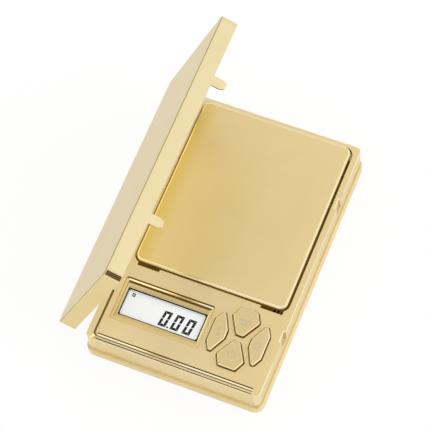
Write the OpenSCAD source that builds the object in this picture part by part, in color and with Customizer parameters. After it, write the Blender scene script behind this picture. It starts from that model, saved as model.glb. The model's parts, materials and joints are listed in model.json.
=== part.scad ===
// Digital pocket scale with a fold-over lid.
// Two base shells hold a weighing tray on a bending-beam load cell, a display with four keys, and two
// cells behind a sliding door underneath. The lid hinges on the left long side and stands open.
// Frame: X from left to right, Y from the display end to the back, Z up, in millimetres.
// The origin is on the table, under the centre of the base. A box is [left, right, front, back].

/* [Base shells] */
// Width of the base flange
body_w = 78; // [74:1:96]
// Length of the base flange
body_l = 122; // [118:1:150]
// Height of the deck above the table
body_h = 16; // [16:0.5:20]
// Height of the flange of the bottom case
flange_h = 4; // [3.5:0.1:4.5]
// How far the top case stands in from the flange
shell_inset = 1.1; // [0.6:0.1:2]
// Wall of the top case
wall = 1.6; // [1.2:0.1:2]
// Thickness of the deck
deck_t = 1.6; // [1.2:0.1:2]
// Thickness of the floor
floor_t = 1.5; // [1.2:0.1:1.8]
// Height of the standing rim under the floor
rim_h = 0.5; // [0.3:0.1:0.8]
// Width of the standing rim
rim_w = 2; // [1.5:0.5:4]
// Corner radius of the flange
flange_r = 4; // [2:0.5:6]
// Corner radius of the top case
shell_r = 2.2; // [2:0.1:4]
// Height of the lip that locates the top case
lip_h = 1.5; // [1:0.1:2]
// Thickness of the lip
lip_t = 1; // [0.8:0.1:1.2]
// Gap between the lip and the top case
lip_gap = 0.15; // [0.1:0.05:0.3]

/* [Deck lines] */
// Width of the back one of the three front lines
line_w = 0.5; // [0.3:0.1:0.6]
// Width of the two finer lines before it
fine_line_w = 0.35; // [0.25:0.05:0.4]
// Width of the left line
left_line_w = 0.9; // [0.5:0.1:1.2]
// Depth of the lines
line_d = 0.9; // [0.4:0.1:1]
// Distance of the back line from the front of the base
line_back = 4.05; // [3.8:0.05:4.4]
// Distance from line to line
line_step = 1.2; // [1:0.05:1.2]
// Distance of the left line from the left side of the base
line_left = 3.8; // [3.4:0.1:4.6]
// Distance of the lines from the right side of the base
line_right = 4.6; // [3:0.1:8]
// Length of the left line from the front of the base
line_l = 24; // [10:1:30]
// Radius of the bend at the front left corner
line_bend_r = 1.8; // [1:0.1:3]

/* [Lid] */
// Outside depth of the lid
lid_depth = 7.2; // [6.5:0.1:12]
// Wall of the lid
lid_t = 1.4; // [1:0.1:2]
// Corner radius of the lid
lid_r = 2.6; // [2:0.1:4]
// Gap under the closed lid
lid_gap = 0.15; // [0.1:0.05:0.4]
// Angle at which the lid stands open
lid_open = 69; // [0:1:170]
// Width of a closing peg
peg_w = 4.2; // [3:0.1:6]
// Length of a closing peg below the rim of the lid
peg_len = 5.8; // [4:0.1:7]
// Thickness of a closing peg
peg_t = 0.8; // [0.8:0.1:1.3]
// Bevel at the tip of a closing peg
peg_bevel = 0.9; // [0.3:0.1:1.4]
// Distance from each end of the lid to the centre of its peg
peg_end = 28; // [15:1:40]
// Clearance of a peg in its slot
peg_gap = 0.2; // [0.2:0.05:0.5]

/* [Hinge] */
// Distance of the hinge axis outside the top case
hinge_out = 3; // [2.8:0.1:4]
// Depth of the hinge axis below the deck
hinge_drop = 2.8; // [2.5:0.1:4]
// Outside radius of a knuckle
knuckle_r = 2.1; // [1.8:0.1:2.3]
// Length of the case knuckle
case_knuckle = 6; // [4:0.5:12]
// Length of each lid knuckle
lid_knuckle = 3; // [2:0.5:6]
// Gap between neighbouring knuckles
knuckle_gap = 0.2; // [0.1:0.05:0.4]
// Radius of a hinge pin
pin_r = 0.8; // [0.6:0.1:1]
// Running clearance of the pin in the lid knuckles
pin_fit = 0.05; // [0.02:0.01:0.1]
// Distance from each end of the base to the middle of its hinge
hinge_end = 24; // [18:1:40]

/* [Weighing tray] */
// Deck left of the tray opening
left_rim = 5.2; // [4:0.1:8]
// Deck right of the tray opening
right_rim = 2.6; // [2.5:0.1:8]
// Deck behind the tray opening
back_rim = 1.6; // [1.6:0.1:6]
// Length of the deck in front of the tray opening
panel_l = 38.1; // [38:0.1:44]
// Gap round the tray
tray_gap = 0.4; // [0.3:0.05:0.8]
// Gap at the right of the tray
tray_gap_right = 0.9; // [0.3:0.05:1.2]
// Height of the tray above the deck
tray_rise = 1.5; // [1:0.1:2.5]
// Thickness of the tray plate
tray_t = 1.2; // [1:0.1:1.5]
// Depth of the skirt below the tray plate
skirt_h = 1.4; // [0.8:0.1:1.8]
// Thickness of the skirt
skirt_t = 1.2; // [0.8:0.1:1.5]
// Corner radius of the tray
tray_r = 3.4; // [2:0.1:6]
// Thickness of the tray carrier
carrier_t = 1.9; // [1.6:0.1:2]
// Travel of the tray at full load
tray_travel = 0.3; // [0.1:0.05:0.3]
// Width of the finger notches before the tray corners
notch_w = 9.4; // [6:0.1:14]
// Length of the finger notches
notch_l = 1.2; // [0.8:0.1:2]
// Distance of the left finger notch from the left side of the opening
notch_left_in = 2.7; // [1:0.1:6]
// Distance of the right finger notch from the right side of the opening
notch_right_in = 1.6; // [1:0.1:6]

/* [Display] */
// Width of the window
window_w = 34.9; // [30:0.1:36]
// Length of the window
window_l = 12.6; // [10:0.1:13]
// Distance of the window from the left side of the base
window_left = 9.2; // [8.5:0.1:9.5]
// Distance of the window from the front of the base
window_front = 15.6; // [15:0.1:16.5]
// Depth of the bezel
bezel_depth = 2.2; // [1.5:0.1:2.4]
// Width of the bezel beside the window
bezel_side = 1.85; // [1.6:0.05:2.2]
// Length of the bezel before and behind the window
bezel_end = 3.15; // [2.5:0.05:3.3]
// Width of the step round the bezel
bezel_step = 1.2; // [0.4:0.1:1.3]
// Depth of the step
bezel_drop = 0.5; // [0.2:0.1:0.8]
// Lip that holds the window down
window_lip = 0.4; // [0.3:0.1:0.6]
// Thickness of the window
window_t = 0.8; // [0.6:0.1:1]
// Thickness of the display cell
cell_glass_t = 2.2; // [1.6:0.1:2.4]
// Thickness of the light plate
light_t = 1.05; // [0.8:0.05:1.2]
// Height of a digit
digit_h = 7; // [5:0.1:9]
// Width of a digit without its slant
digit_w = 3.4; // [2.5:0.1:4]
// Distance from digit to digit
digit_pitch = 5.3; // [4.5:0.1:6]
// Width of a segment
segment_w = 1.1; // [0.4:0.05:1.2]
// Slant of the digits in degrees
digit_slant = 8; // [0:1:12]
// Distance of the last digit from the right side of the window
digit_right = 3.1; // [1:0.1:6]
// Distance of the digits from the front of the window
digit_front = 1.7; // [1:0.1:3]
// Gap between the two halves of a digit's side
segment_split = 0.3; // [0.1:0.05:0.5]
// Gap between the segments that meet at a corner
corner_split = 0.05; // [0.02:0.01:0.1]

/* [Keys] */
// Distance of the middle of the keys from the left side of the base
keys_left = 60; // [59.9:0.1:60.5]
// Distance of the middle of the keys from the front of the base
keys_front = 21.8; // [21.4:0.1:22.2]
// Height of the keys above the deck
key_rise = 1.1; // [0.4:0.1:1.2]
// Travel of the keys
key_travel = 0.5; // [0.2:0.1:0.5]
// Gap round the keys
key_gap = 0.4; // [0.2:0.05:0.4]
// Width of the flange that holds a key under the deck
key_flange = 0.8; // [0.6:0.1:0.9]
// Thickness of that flange
key_flange_t = 0.8; // [0.6:0.1:1]

/* [Load cell] */
// Length of the beam
beam_l = 60; // [50:1:62]
// Width of the beam
beam_w = 12; // [10:1:14]
// Height of the beam
beam_h = 6.5; // [6:0.1:7]
// Distance of the beam's middle behind the front of the base
beam_front = 72; // [62:1:78]
// Radius of the two bores that weaken the beam
beam_bore_r = 2.2; // [1.5:0.1:2.4]
// Distance of each bore from the middle of the beam
beam_bore_x = 7; // [5:0.5:9]
// Distance of the outer screw from the end of the beam
beam_screw_end = 4; // [3.5:0.5:6]
// Distance between the two screws at one end
beam_screw_step = 7; // [6.5:0.5:9]
// Height of the carrier's boss on the beam
carrier_boss_h = 2.4; // [2:0.1:2.6]
// Thickness of the spacer under the fixed end
spacer_t = 1.5; // [1:0.1:1.8]

/* [Battery bay] */
// Diameter of a cell
cell_d = 10.5; // [10:0.1:10.5]
// Length of a cell with its cap
cell_l = 44.5; // [40:0.5:45]
// Clearance over and under the cells
cell_gap = 0.2; // [0.1:0.05:0.2]
// Distance between the cells
cell_apart = 0.7; // [0.5:0.1:1]
// Room for the contacts at the ends of the cells
contact_room = 5.5; // [5:0.5:6]
// Wall of the bay
bay_wall = 1; // [0.8:0.1:1.2]
// Roof of the bay
bay_roof = 0.8; // [0.6:0.1:0.8]
// Distance of the bay from the back of the base
bay_back = 9; // [8.5:0.5:16]
// Width of the ledge at each side of the door
door_ledge = 2; // [1.8:0.1:2.4]
// Width of the ledge in front of the door
door_stop = 1.6; // [1.2:0.1:2.4]
// Gap round the door
door_gap = 0.2; // [0.1:0.05:0.3]
// Reach of a door tongue over the ledge
tongue_out = 1.2; // [0.8:0.1:1.4]
// Length of a door tongue
tongue_l = 4; // [3:0.5:5]
// Distance that the door slides before it lifts off
door_slide = 8; // [6:0.5:9]

/* [Board] */
// Thickness of the circuit board
board_t = 1.6; // [1:0.1:1.6]
// Height of a key switch without its plunger
switch_h = 2.5; // [2:0.1:2.6]
// Height of the plunger above the switch
plunger_h = 0.6; // [0.3:0.1:0.6]

/* [Screws and feet] */
// Radius of a case boss
boss_r = 2.6; // [2.2:0.1:2.6]
// Depth to which a case boss is sunk in the side walls
boss_bite = 0.5; // [0.3:0.1:0.8]
// Radius of a case screw
screw_r = 1; // [0.8:0.1:1.1]
// Radius of a board screw
board_screw_r = 0.9; // [0.7:0.1:1]
// Radius of a beam screw
beam_screw_r = 1.5; // [1.2:0.1:1.5]
// Radius of a rubber foot
foot_r = 3.5; // [2.5:0.5:3.5]
// Distance of the feet from the ends of the base
foot_end = 18; // [16:1:24]

/* [Hidden] */
$fn = 48;
// Overlap of solids that are joined, and overshoot of a cut
eps = 0.01;
over = 1;
thread_fit = 0.02;
hole_fit = 0.2;
seat_gap = 0.05;

GOLD = [0.87, 0.76, 0.52];
STEEL = [0.7, 0.71, 0.72];
BRIGHT = [0.86, 0.86, 0.84];
WHITE = [0.92, 0.92, 0.9];
BLACK = [0.08, 0.08, 0.08];
GREEN = [0.1, 0.35, 0.2];
COPPER = [0.75, 0.45, 0.2];

// A box moved in by d on all four sides
function inset(b, d) = [b[0] + d, b[1] - d, b[2] + d, b[3] - d];
// A box of half widths hx and hy about a point
function around(p, hx, hy) = [p[0] - hx, p[0] + hx, p[1] - hy, p[1] + hy];

base_box = [-body_w / 2, body_w / 2, -body_l / 2, body_l / 2];
shell_box = inset(base_box, shell_inset);
hollow_box = inset(shell_box, wall);
lip_box = inset(hollow_box, lip_gap);

// Heights from the table up
floor_z = rim_h + floor_t;
deck_under = body_h - deck_t;
tray_top = body_h + tray_rise;
tray_under = tray_top - tray_t;
carrier_z = tray_under - carrier_t;
beam_top = carrier_z - carrier_boss_h;
beam_z = beam_top - beam_h;
spacer_z = beam_z - spacer_t;
bay_top = floor_z + cell_d + 2 * cell_gap;
window_z = body_h - bezel_depth - window_lip - window_t;
glass_top = window_z - 2 * seat_gap;
board_top = glass_top - cell_glass_t - light_t - seat_gap;
board_z = board_top - board_t;
key_flange_z = deck_under - 0.2 - key_flange_t;
plunger_top = board_top + switch_h + plunger_h;
key_foot_z = plunger_top + key_travel + 2 * seat_gap;
lid_z = body_h + lid_gap;

// Tray and its opening
tray_hole = [
    shell_box[0] + left_rim,
    shell_box[1] - right_rim,
    shell_box[2] + panel_l,
    shell_box[3] - back_rim
];
tray_box = [
    tray_hole[0] + tray_gap,
    tray_hole[1] - tray_gap_right,
    tray_hole[2] + tray_gap,
    tray_hole[3] - tray_gap
];
carrier_box = inset(tray_box, skirt_t + 0.3);

// Hinge
hinge_x = shell_box[0] - hinge_out;
hinge_z = body_h - hinge_drop;
hinge_ys = [base_box[2] + hinge_end, base_box[3] - hinge_end];
peg_ys = [shell_box[2] + peg_end, shell_box[3] - peg_end];
peg_pad = 1.4;
lid_knuckle_y = case_knuckle / 2 + knuckle_gap + lid_knuckle / 2;

// Display
window_box = [
    base_box[0] + window_left,
    base_box[0] + window_left + window_w,
    base_box[2] + window_front,
    base_box[2] + window_front + window_l
];
bezel_box = [
    window_box[0] - bezel_side,
    window_box[1] + bezel_side,
    window_box[2] - bezel_end,
    window_box[3] + bezel_end
];
bezel_r = 0.8;
point_w = 0.7;
point_left = 1.35;
mark_w = 1.3;
mark_l = 1.5;
mark_line = 0.4;
mark_left = 2.3;
mark_back = 1.35;
pane_fit = 0.1;
pane_box = inset(window_box, -1.1);
surround_box = inset(pane_box, -1);
glass_box = inset(window_box, -2);
holder_t = 1;
zebra_l = 2.2;
zebra_gap = 0.4;
light_box = [glass_box[0], glass_box[1], glass_box[2], glass_box[3] - zebra_l - 2 * zebra_gap];
zebra_box = [
    glass_box[0] + 1,
    glass_box[1] - 1,
    glass_box[3] - zebra_gap - zebra_l,
    glass_box[3] - zebra_gap
];

// Keys: outlines run counter-clockwise about the middle of the four keys
keys_at = [base_box[0] + keys_left, base_box[2] + keys_front];
right_outline = [
    [11.8, -5.1], [11.8, 5.1], [9.9, 8.7], [8.7, 8.7],
    [5.3, 1.9], [5.3, -1.9], [8.7, -8.7], [9.9, -8.7]
];
top_outline = [
    [1.5, 1.5], [5.8, 9], [3.6, 13.4],
    [-3.6, 13.4], [-5.8, 9], [-1.5, 1.5]
];
function turned(p) = [for (v = p) [-v[0], -v[1]]];
left_outline = turned(right_outline);
bottom_outline = turned(top_outline);
right_switch = [8.6, 0];
top_switch = [0, 8.4];
switch_points = [right_switch, -right_switch, top_switch, -top_switch];

// Outward normal of the edge from a to b of a counter-clockwise outline
function edge_normal(a, b) = [b[1] - a[1], a[0] - b[0]] / norm(b - a);
// A convex outline with each edge moved out by d
function grown(p, d) = [
    for (i = [0 : len(p) - 1])
        let (
            before = edge_normal(p[(i + len(p) - 1) % len(p)], p[i]),
            after = edge_normal(p[i], p[(i + 1) % len(p)])
        )
        p[i] + d * (before + after) / (1 + before * after)
];

// Load cell
beam_y = base_box[2] + beam_front;
beam_mid_x = (tray_box[0] + tray_box[1]) / 2;
beam_box = around([beam_mid_x, beam_y], beam_l / 2, beam_w / 2);
beam_end_l = 2 * beam_screw_end + beam_screw_step;
fixed_box = [beam_box[0], beam_box[0] + beam_end_l, beam_box[2], beam_box[3]];
free_box = [beam_box[1] - beam_end_l, beam_box[1], beam_box[2], beam_box[3]];
fixed_screws = [for (s = [0, 1]) beam_box[0] + beam_screw_end + s * beam_screw_step];
free_screws = [for (s = [0, 1]) beam_box[1] - beam_screw_end - s * beam_screw_step];
beam_screw_end_z = rim_h + 0.9;
beam_head_w = 1.1;
carrier_head_z = tray_under - 1.5;
gauge_t = 0.3;

// Battery bay
bay_half_x = (cell_l + contact_room) / 2;
bay_l = 2 * cell_d + 3 * cell_apart - 0.1;
bay_box = [
    beam_mid_x - bay_half_x,
    beam_mid_x + bay_half_x,
    base_box[3] - bay_back - bay_l,
    base_box[3] - bay_back
];
cell_ys = [for (s = [-1, 1]) (bay_box[2] + bay_box[3]) / 2 + s * (cell_d + cell_apart) / 2];
cell_z = floor_z + cell_gap + cell_d / 2;
contact_t = 0.4;
dimple_l = 0.5;
lead_z = cell_z - 2;
lead_r = 0.4;
lead_hole_r = 0.9;
door_hole = [
    bay_box[0] + door_ledge,
    bay_box[1] - door_ledge,
    bay_box[2] + door_stop,
    base_box[3] + over
];
door_box = [
    door_hole[0] + door_gap,
    door_hole[1] - door_gap,
    door_hole[2] + door_gap,
    base_box[3]
];
tongue_z = rim_h + floor_t / 2;
tongue_step = door_slide + tongue_l + 1.5;
tongue_ys = [for (i = [0, 1]) door_box[2] + 1 + i * tongue_step];
groove_box = [
    door_hole[0] - tongue_out,
    door_hole[1] + tongue_out,
    door_hole[2],
    tongue_ys[1] + tongue_l + door_slide + door_gap
];

// Board and screws
board_box = [base_box[0] + 4, base_box[1] - 4, base_box[2] + 8.8, shell_box[2] + panel_l - 2.2];
board_screw_l = 3.6;
board_screws_at = [
    [board_box[0] + 1.6, board_box[2] + 1.45],
    [board_box[0] + 1.6, board_box[3] - 2.4],
    [board_box[1] - 2, board_box[2] + 1.45],
    [board_box[1] - 1.6, board_box[3] - 2.4]
];
screw_in = shell_inset + wall + boss_r - boss_bite;
front_screws_at = [for (x = [base_box[0] + screw_in, base_box[1] - screw_in])
    [x, base_box[2] + screw_in]];
back_screws_at = [for (x = [base_box[0] + screw_in, base_box[1] - screw_in])
    [x, base_box[3] - screw_in]];
case_screws_at = concat(front_screws_at, back_screws_at);
case_head_z = rim_h + 1.6;
case_head_w = 1;
case_screw_top = flange_h + 6.5;
foot_fit = 0.1;
foot_sunk = 0.5;
feet_at = [for (x = [base_box[0] + 7.5, base_box[1] - 7.5],
                y = [base_box[2] + foot_end, base_box[3] - foot_end]) [x, y]];

// Rounded rectangle in the plane
module outline(b, r) {
    translate([b[0] + r, b[2]])
        square([b[1] - b[0] - 2 * r, b[3] - b[2]]);
    translate([b[0], b[2] + r])
        square([b[1] - b[0], b[3] - b[2] - 2 * r]);
    for (x = [b[0] + r, b[1] - r], y = [b[2] + r, b[3] - r])
        translate([x, y])
            circle(r);
}

// Box from z0 to z1, with its upright edges rounded where r is over 0
module slab(b, z0, z1, r = 0) {
    translate([0, 0, z0])
        linear_extrude(z1 - z0)
            if (r > 0) outline(b, r);
            else translate([b[0], b[2]]) square([b[1] - b[0], b[3] - b[2]]);
}

// Upright cylinder at a point of the plan
module post(p, r, z0, z1) {
    translate([p[0], p[1], z0])
        cylinder(h = z1 - z0, r = r);
}

// Cylinder along Y, centred on y
module barrel(x, y, z, r, l) {
    translate([x, y, z])
        rotate([90, 0, 0])
            cylinder(h = l, r = r, center = true);
}

// Cylinder along X from x0 to x1
module rod(x0, x1, y, z, r) {
    translate([x0, y, z])
        rotate([0, 90, 0])
            cylinder(h = x1 - x0, r = r);
}

// Prism along Y of an outline given in X and Z, centred on y
module rib(y, l, points) {
    translate([0, y + l / 2, 0])
        rotate([90, 0, 0])
            linear_extrude(l)
                polygon(points);
}

// Wire through a list of points
module wire(points, r) {
    for (i = [0 : len(points) - 2])
        hull()
            for (p = [points[i], points[i + 1]])
                translate(p)
                    sphere(r, $fn = 8);
}

// Screw with its head at z, pointing down for way = -1 and up for way = 1
module screw(p, z, r, shaft_l, head_r, head_h, way) {
    translate([p[0], p[1], z])
        mirror([0, 0, way < 0 ? 1 : 0])
            difference() {
                union() {
                    translate([0, 0, -head_h])
                        cylinder(h = head_h, r = head_r);
                    translate([0, 0, -eps])
                        cylinder(h = shaft_l + eps, r = r);
                }
                for (a = [0, 90])
                    rotate([0, 0, a])
                        translate([-head_r * 0.6, -head_r * 0.12, -head_h - eps])
                            cube([head_r * 1.2, head_r * 0.24, head_h * 0.5]);
            }
}

// Floor, flange and locating lip, with the battery bay and the fixed end's boss
module bottom_case() {
    color(GOLD)
    difference() {
        union() {
            difference() {
                union() {
                    slab(base_box, rim_h, flange_h, flange_r);
                    slab(lip_box, flange_h - eps, flange_h + lip_h, 1);
                }
                slab(inset(lip_box, lip_t), floor_z, flange_h + lip_h + over, 1);
            }
            difference() {
                slab(base_box, 0, rim_h + eps, flange_r);
                slab(inset(base_box, rim_w), -over, rim_h + over, flange_r - rim_w / 2);
            }
            slab(inset(bay_box, -bay_wall), floor_z - eps, bay_top + bay_roof);
            slab(fixed_box, floor_z - eps, spacer_z);
            for (p = case_screws_at)
                post(p, boss_r, floor_z - eps, flange_h);
        }
        slab(bay_box, floor_z, bay_top);
        slab(door_hole, -over, floor_z + eps);
        slab([groove_box[0], groove_box[1], tongue_ys[0] - door_gap, groove_box[3]],
             tongue_z - seat_gap, floor_z + eps);
        for (y = tongue_ys)
            slab([groove_box[0], groove_box[1],
                  y + door_slide - door_gap, y + door_slide + tongue_l + door_gap],
                 -over, floor_z + eps);
        for (y = cell_ys)
            rod(bay_box[1] - over, bay_box[1] + bay_wall + over, y, lead_z, lead_hole_r);
        for (p = case_screws_at) {
            post(p, screw_r + hole_fit, -over, flange_h + over);
            post(p, screw_r + case_head_w + hole_fit, -over, case_head_z);
            post(p, boss_r + lip_gap, flange_h, flange_h + lip_h + over);
        }
        for (x = fixed_screws)
            post([x, beam_y], beam_screw_r + thread_fit,
                 beam_screw_end_z - hole_fit, spacer_z + over);
        for (p = feet_at)
            post(p, foot_r + foot_fit, -over, rim_h + foot_sunk);
    }
}

// Knuckles of the hinge that belong to the top case
module case_knuckles() {
    for (y = hinge_ys) {
        barrel(hinge_x, y, hinge_z, knuckle_r, case_knuckle);
        slab([hinge_x, shell_box[0] + wall / 2, y - case_knuckle / 2, y + case_knuckle / 2],
             hinge_z - knuckle_r, hinge_z + knuckle_r / 4);
    }
}

// Walls and deck, with the window surround, the screw bosses and the pads behind the peg slots
module top_case_solid() {
    difference() {
        slab(shell_box, flange_h, body_h, shell_r);
        slab(hollow_box, flange_h - over, deck_under, shell_r - wall);
    }
    slab(surround_box, window_z, deck_under + eps);
    for (p = board_screws_at)
        post(p, board_screw_r + 1.3, board_top, deck_under + eps);
    for (p = front_screws_at)
        post(p, boss_r, flange_h, deck_under + eps);
    for (p = back_screws_at)
        post(p, boss_r, flange_h, carrier_z - tray_travel - hole_fit);
    for (y = peg_ys)
        slab([hollow_box[1] - peg_t, hollow_box[1] + eps,
              y - peg_w / 2 - peg_pad, y + peg_w / 2 + peg_pad],
             lid_z - peg_len - peg_pad, deck_under + eps);
    case_knuckles();
}

module bezel_cut() {
    slab(bezel_box, body_h - bezel_drop, body_h + over, bezel_r);
    hull() {
        slab(inset(bezel_box, bezel_step), body_h - bezel_drop, body_h - bezel_drop + eps);
        slab(window_box, body_h - bezel_depth, body_h - bezel_depth + eps);
    }
    slab(window_box, window_z - over, body_h);
    slab(inset(pane_box, -pane_fit), window_z - over, window_z + window_t);
}

// Fine lines moulded into the deck along its front and left edges
module deck_lines() {
    z = body_h - line_d;
    x0 = base_box[0] + line_left + line_bend_r;
    x1 = base_box[1] - line_right;
    left_x = base_box[0] + line_left;
    back_y = base_box[2] + line_back;
    bend_y = back_y - line_step - fine_line_w / 2 + line_bend_r;
    slab([x0, x1, back_y - line_w / 2, back_y + line_w / 2], z, body_h + over);
    for (i = [1, 2]) {
        y = back_y - i * line_step;
        slab([x0, x1, y - fine_line_w / 2, y + fine_line_w / 2], z, body_h + over);
    }
    slab([left_x, left_x + left_line_w, bend_y, base_box[2] + line_l], z, body_h + over);
    translate([x0, bend_y, z])
        rotate([0, 0, 180])
            rotate_extrude(angle = 90)
                translate([line_bend_r - left_line_w, 0])
                    square([left_line_w, line_d + over]);
}

module top_case() {
    color(GOLD)
    difference() {
        top_case_solid();
        slab(tray_hole, deck_under - hole_fit, body_h + over, tray_r + tray_gap);
        for (x = [tray_hole[0] + notch_left_in, tray_hole[1] - notch_right_in - notch_w])
            slab([x, x + notch_w, tray_hole[2] - notch_l, tray_hole[2] + tray_r + over],
                 deck_under - hole_fit, body_h + over);
        bezel_cut();
        deck_lines();
        for (o = [right_outline, left_outline, top_outline, bottom_outline])
            translate([keys_at[0], keys_at[1], window_z - over])
                linear_extrude(body_h)
                    polygon(grown(o, key_gap));
        for (y = peg_ys)
            slab([shell_box[1] - peg_t - peg_gap, shell_box[1] + over,
                  y - peg_w / 2 - peg_gap, y + peg_w / 2 + peg_gap],
                 lid_z - peg_len - peg_gap, body_h + over);
        for (p = case_screws_at)
            post(p, screw_r + thread_fit, flange_h - over, case_screw_top + hole_fit);
        for (p = board_screws_at)
            post(p, board_screw_r + thread_fit, board_top - over, board_top + board_screw_l + hole_fit);
        for (y = hinge_ys)
            barrel(hinge_x, y, hinge_z, pin_r + thread_fit, case_knuckle + 2 * over);
    }
}

// Lid as it lies when closed
module closed_lid() {
    lid_top = lid_z + lid_depth;
    peg_tip = lid_z - peg_len;
    peg_root = 1;
    leaf_top = lid_z + lid_depth * 0.6;
    difference() {
        union() {
            difference() {
                slab(shell_box, lid_z, lid_top, lid_r);
                slab(inset(shell_box, lid_t), lid_z - over, lid_top - lid_t, lid_r - lid_t);
            }
            for (y = peg_ys)
                translate([shell_box[1] - peg_t, y, 0])
                    rotate([90, 0, 90])
                        linear_extrude(peg_t)
                            polygon([
                                [-peg_w / 2, lid_z + peg_root],
                                [-peg_w / 2, peg_tip + 2 * peg_bevel],
                                [-peg_w / 2 + peg_bevel, peg_tip],
                                [peg_w / 2 - peg_bevel, peg_tip],
                                [peg_w / 2, peg_tip + 2 * peg_bevel],
                                [peg_w / 2, lid_z + peg_root]
                            ]);
            for (y = hinge_ys, s = [-1, 1]) {
                barrel(hinge_x, y + s * lid_knuckle_y, hinge_z, knuckle_r, lid_knuckle);
                rib(y + s * lid_knuckle_y, lid_knuckle, [
                    [hinge_x - knuckle_r, hinge_z],
                    [hinge_x + knuckle_r - 0.2, hinge_z],
                    [shell_box[0] - 0.4, lid_z],
                    [shell_box[0] + lid_t / 2, lid_z],
                    [shell_box[0] + lid_t / 2, leaf_top],
                    [shell_box[0] - 0.6, leaf_top],
                    [hinge_x - knuckle_r, hinge_z + knuckle_r]
                ]);
            }
        }
        for (y = hinge_ys, s = [-1, 1])
            barrel(hinge_x, y + s * lid_knuckle_y, hinge_z, pin_r + pin_fit, lid_knuckle + knuckle_gap);
    }
}

module lid() {
    color(GOLD)
    translate([hinge_x, 0, hinge_z])
        rotate([0, -lid_open, 0])
            translate([-hinge_x, 0, -hinge_z])
                closed_lid();
}

module hinge_pins() {
    color(STEEL)
    for (y = hinge_ys)
        barrel(hinge_x, y, hinge_z, pin_r, case_knuckle + 2 * (knuckle_gap + lid_knuckle));
}

module weighing_tray() {
    color(GOLD)
    difference() {
        slab(tray_box, tray_under - skirt_h, tray_top, tray_r);
        slab(inset(tray_box, skirt_t), tray_under - skirt_h - over, tray_under, tray_r - skirt_t);
    }
}

module tray_carrier() {
    color(WHITE)
    difference() {
        union() {
            slab(carrier_box, carrier_z, tray_under, tray_r - skirt_t);
            slab(free_box, beam_top, carrier_z + eps);
        }
        for (x = free_screws) {
            post([x, beam_y], beam_screw_r + hole_fit, beam_top - over, tray_under + over);
            post([x, beam_y], beam_screw_r + beam_head_w + hole_fit, carrier_head_z, tray_under + over);
        }
    }
}

module carrier_screws() {
    color(STEEL)
    for (x = free_screws)
        screw([x, beam_y], carrier_head_z, beam_screw_r, 7, beam_screw_r + beam_head_w, 1.4, -1);
}

// Aluminium beam, weakened by two bores and the slot between them
module load_cell() {
    mid = (beam_z + beam_top) / 2;
    slot_w = 1.2;
    color(BRIGHT)
    difference() {
        slab(beam_box, beam_z, beam_top);
        for (s = [-1, 1])
            barrel(beam_mid_x + s * beam_bore_x, beam_y, mid, beam_bore_r, beam_w + 2 * over);
        slab(around([beam_mid_x, beam_y], beam_bore_x, beam_w), mid - slot_w / 2, mid + slot_w / 2);
        for (x = concat(fixed_screws, free_screws))
            post([x, beam_y], beam_screw_r + seat_gap, beam_z - over, beam_top + over);
    }
}

module strain_gauges() {
    color(COPPER)
    for (s = [-1, 1], z = [beam_top, beam_z - gauge_t])
        slab(around([beam_mid_x + s * beam_bore_x, beam_y], 2.6, 3.4), z, z + gauge_t);
}

module load_cell_spacer() {
    color(BRIGHT)
    difference() {
        slab(fixed_box, spacer_z, beam_z);
        for (x = fixed_screws)
            post([x, beam_y], beam_screw_r + seat_gap, spacer_z - over, beam_z + over);
    }
}

module load_cell_screws() {
    color(STEEL)
    for (x = fixed_screws)
        screw([x, beam_y], beam_top, beam_screw_r, beam_top - beam_screw_end_z,
              beam_screw_r + beam_head_w, 1.5, -1);
}

// Four leads from the gauges to the back edge of the board
module load_cell_wires() {
    r = 0.35;
    gauge_top = beam_top + gauge_t + r;
    color([0.7, 0.1, 0.1])
    for (i = [0 : 3]) {
        x = beam_mid_x + (i < 2 ? -beam_bore_x : beam_bore_x) + (i % 2 == 0 ? -1.2 : 1.2);
        wire([
            [x, beam_y - 2.6, gauge_top],
            [x, beam_box[2] - 1.5, gauge_top],
            [x, beam_box[2] - 4, board_top - 1],
            [x, board_box[3] + 3, board_top - 1],
            [x, board_box[3] + 1, board_top + r + seat_gap],
            [x, board_box[3] - 1.2, board_top + r + seat_gap]
        ], r);
    }
}

module lcd_window() {
    color([0.9, 0.95, 0.95, 0.4])
    slab(pane_box, window_z, window_z + window_t);
}

module lcd_glass() {
    color([0.85, 0.87, 0.86])
    slab(glass_box, glass_top - cell_glass_t, glass_top);
}

// Outline leaned over by the slant of the digits
function leaned(points) = [for (p = points) [p[0] + p[1] * tan(digit_slant), p[1]]];
// Outline of a segment turned over to the other side (x) or the other end (y) of its digit
function flipped(points, x, y) =
    [for (p = points) [x ? digit_w - p[0] : p[0], y ? digit_h - p[1] : p[1]]];

// Seven-segment nought with its lower left corner at the origin
module nought() {
    t = segment_w;
    s = corner_split;
    middle = (digit_h - segment_split) / 2;
    bar = [[s, 0], [digit_w - s, 0], [digit_w - t - s, t], [t + s, t]];
    side = [[0, s], [t, t + s], [t, middle], [0, middle]];
    for (y = [false, true]) {
        polygon(leaned(flipped(bar, false, y)));
        for (x = [false, true])
            polygon(leaned(flipped(side, x, y)));
    }
}

// Reading of three noughts with a point, and the small stable mark
module lcd_digits() {
    base_y = window_box[2] + digit_front;
    last_x = window_box[1] - digit_right - digit_w - digit_h * tan(digit_slant);
    color(BLACK)
    translate([0, 0, glass_top])
        linear_extrude(0.05) {
            for (i = [0 : 2])
                translate([last_x - i * digit_pitch, base_y])
                    nought();
            translate([last_x - digit_pitch - point_left, base_y])
                square(point_w);
            translate([window_box[0] + mark_left, window_box[3] - mark_back - mark_l])
                difference() {
                    square([mark_w, mark_l]);
                    translate([mark_line, mark_line])
                        square([mark_w - 2 * mark_line, mark_l - 2 * mark_line]);
                }
        }
}

module lcd_backlight() {
    color(WHITE)
    slab(light_box, board_top, board_top + light_t);
}

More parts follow.
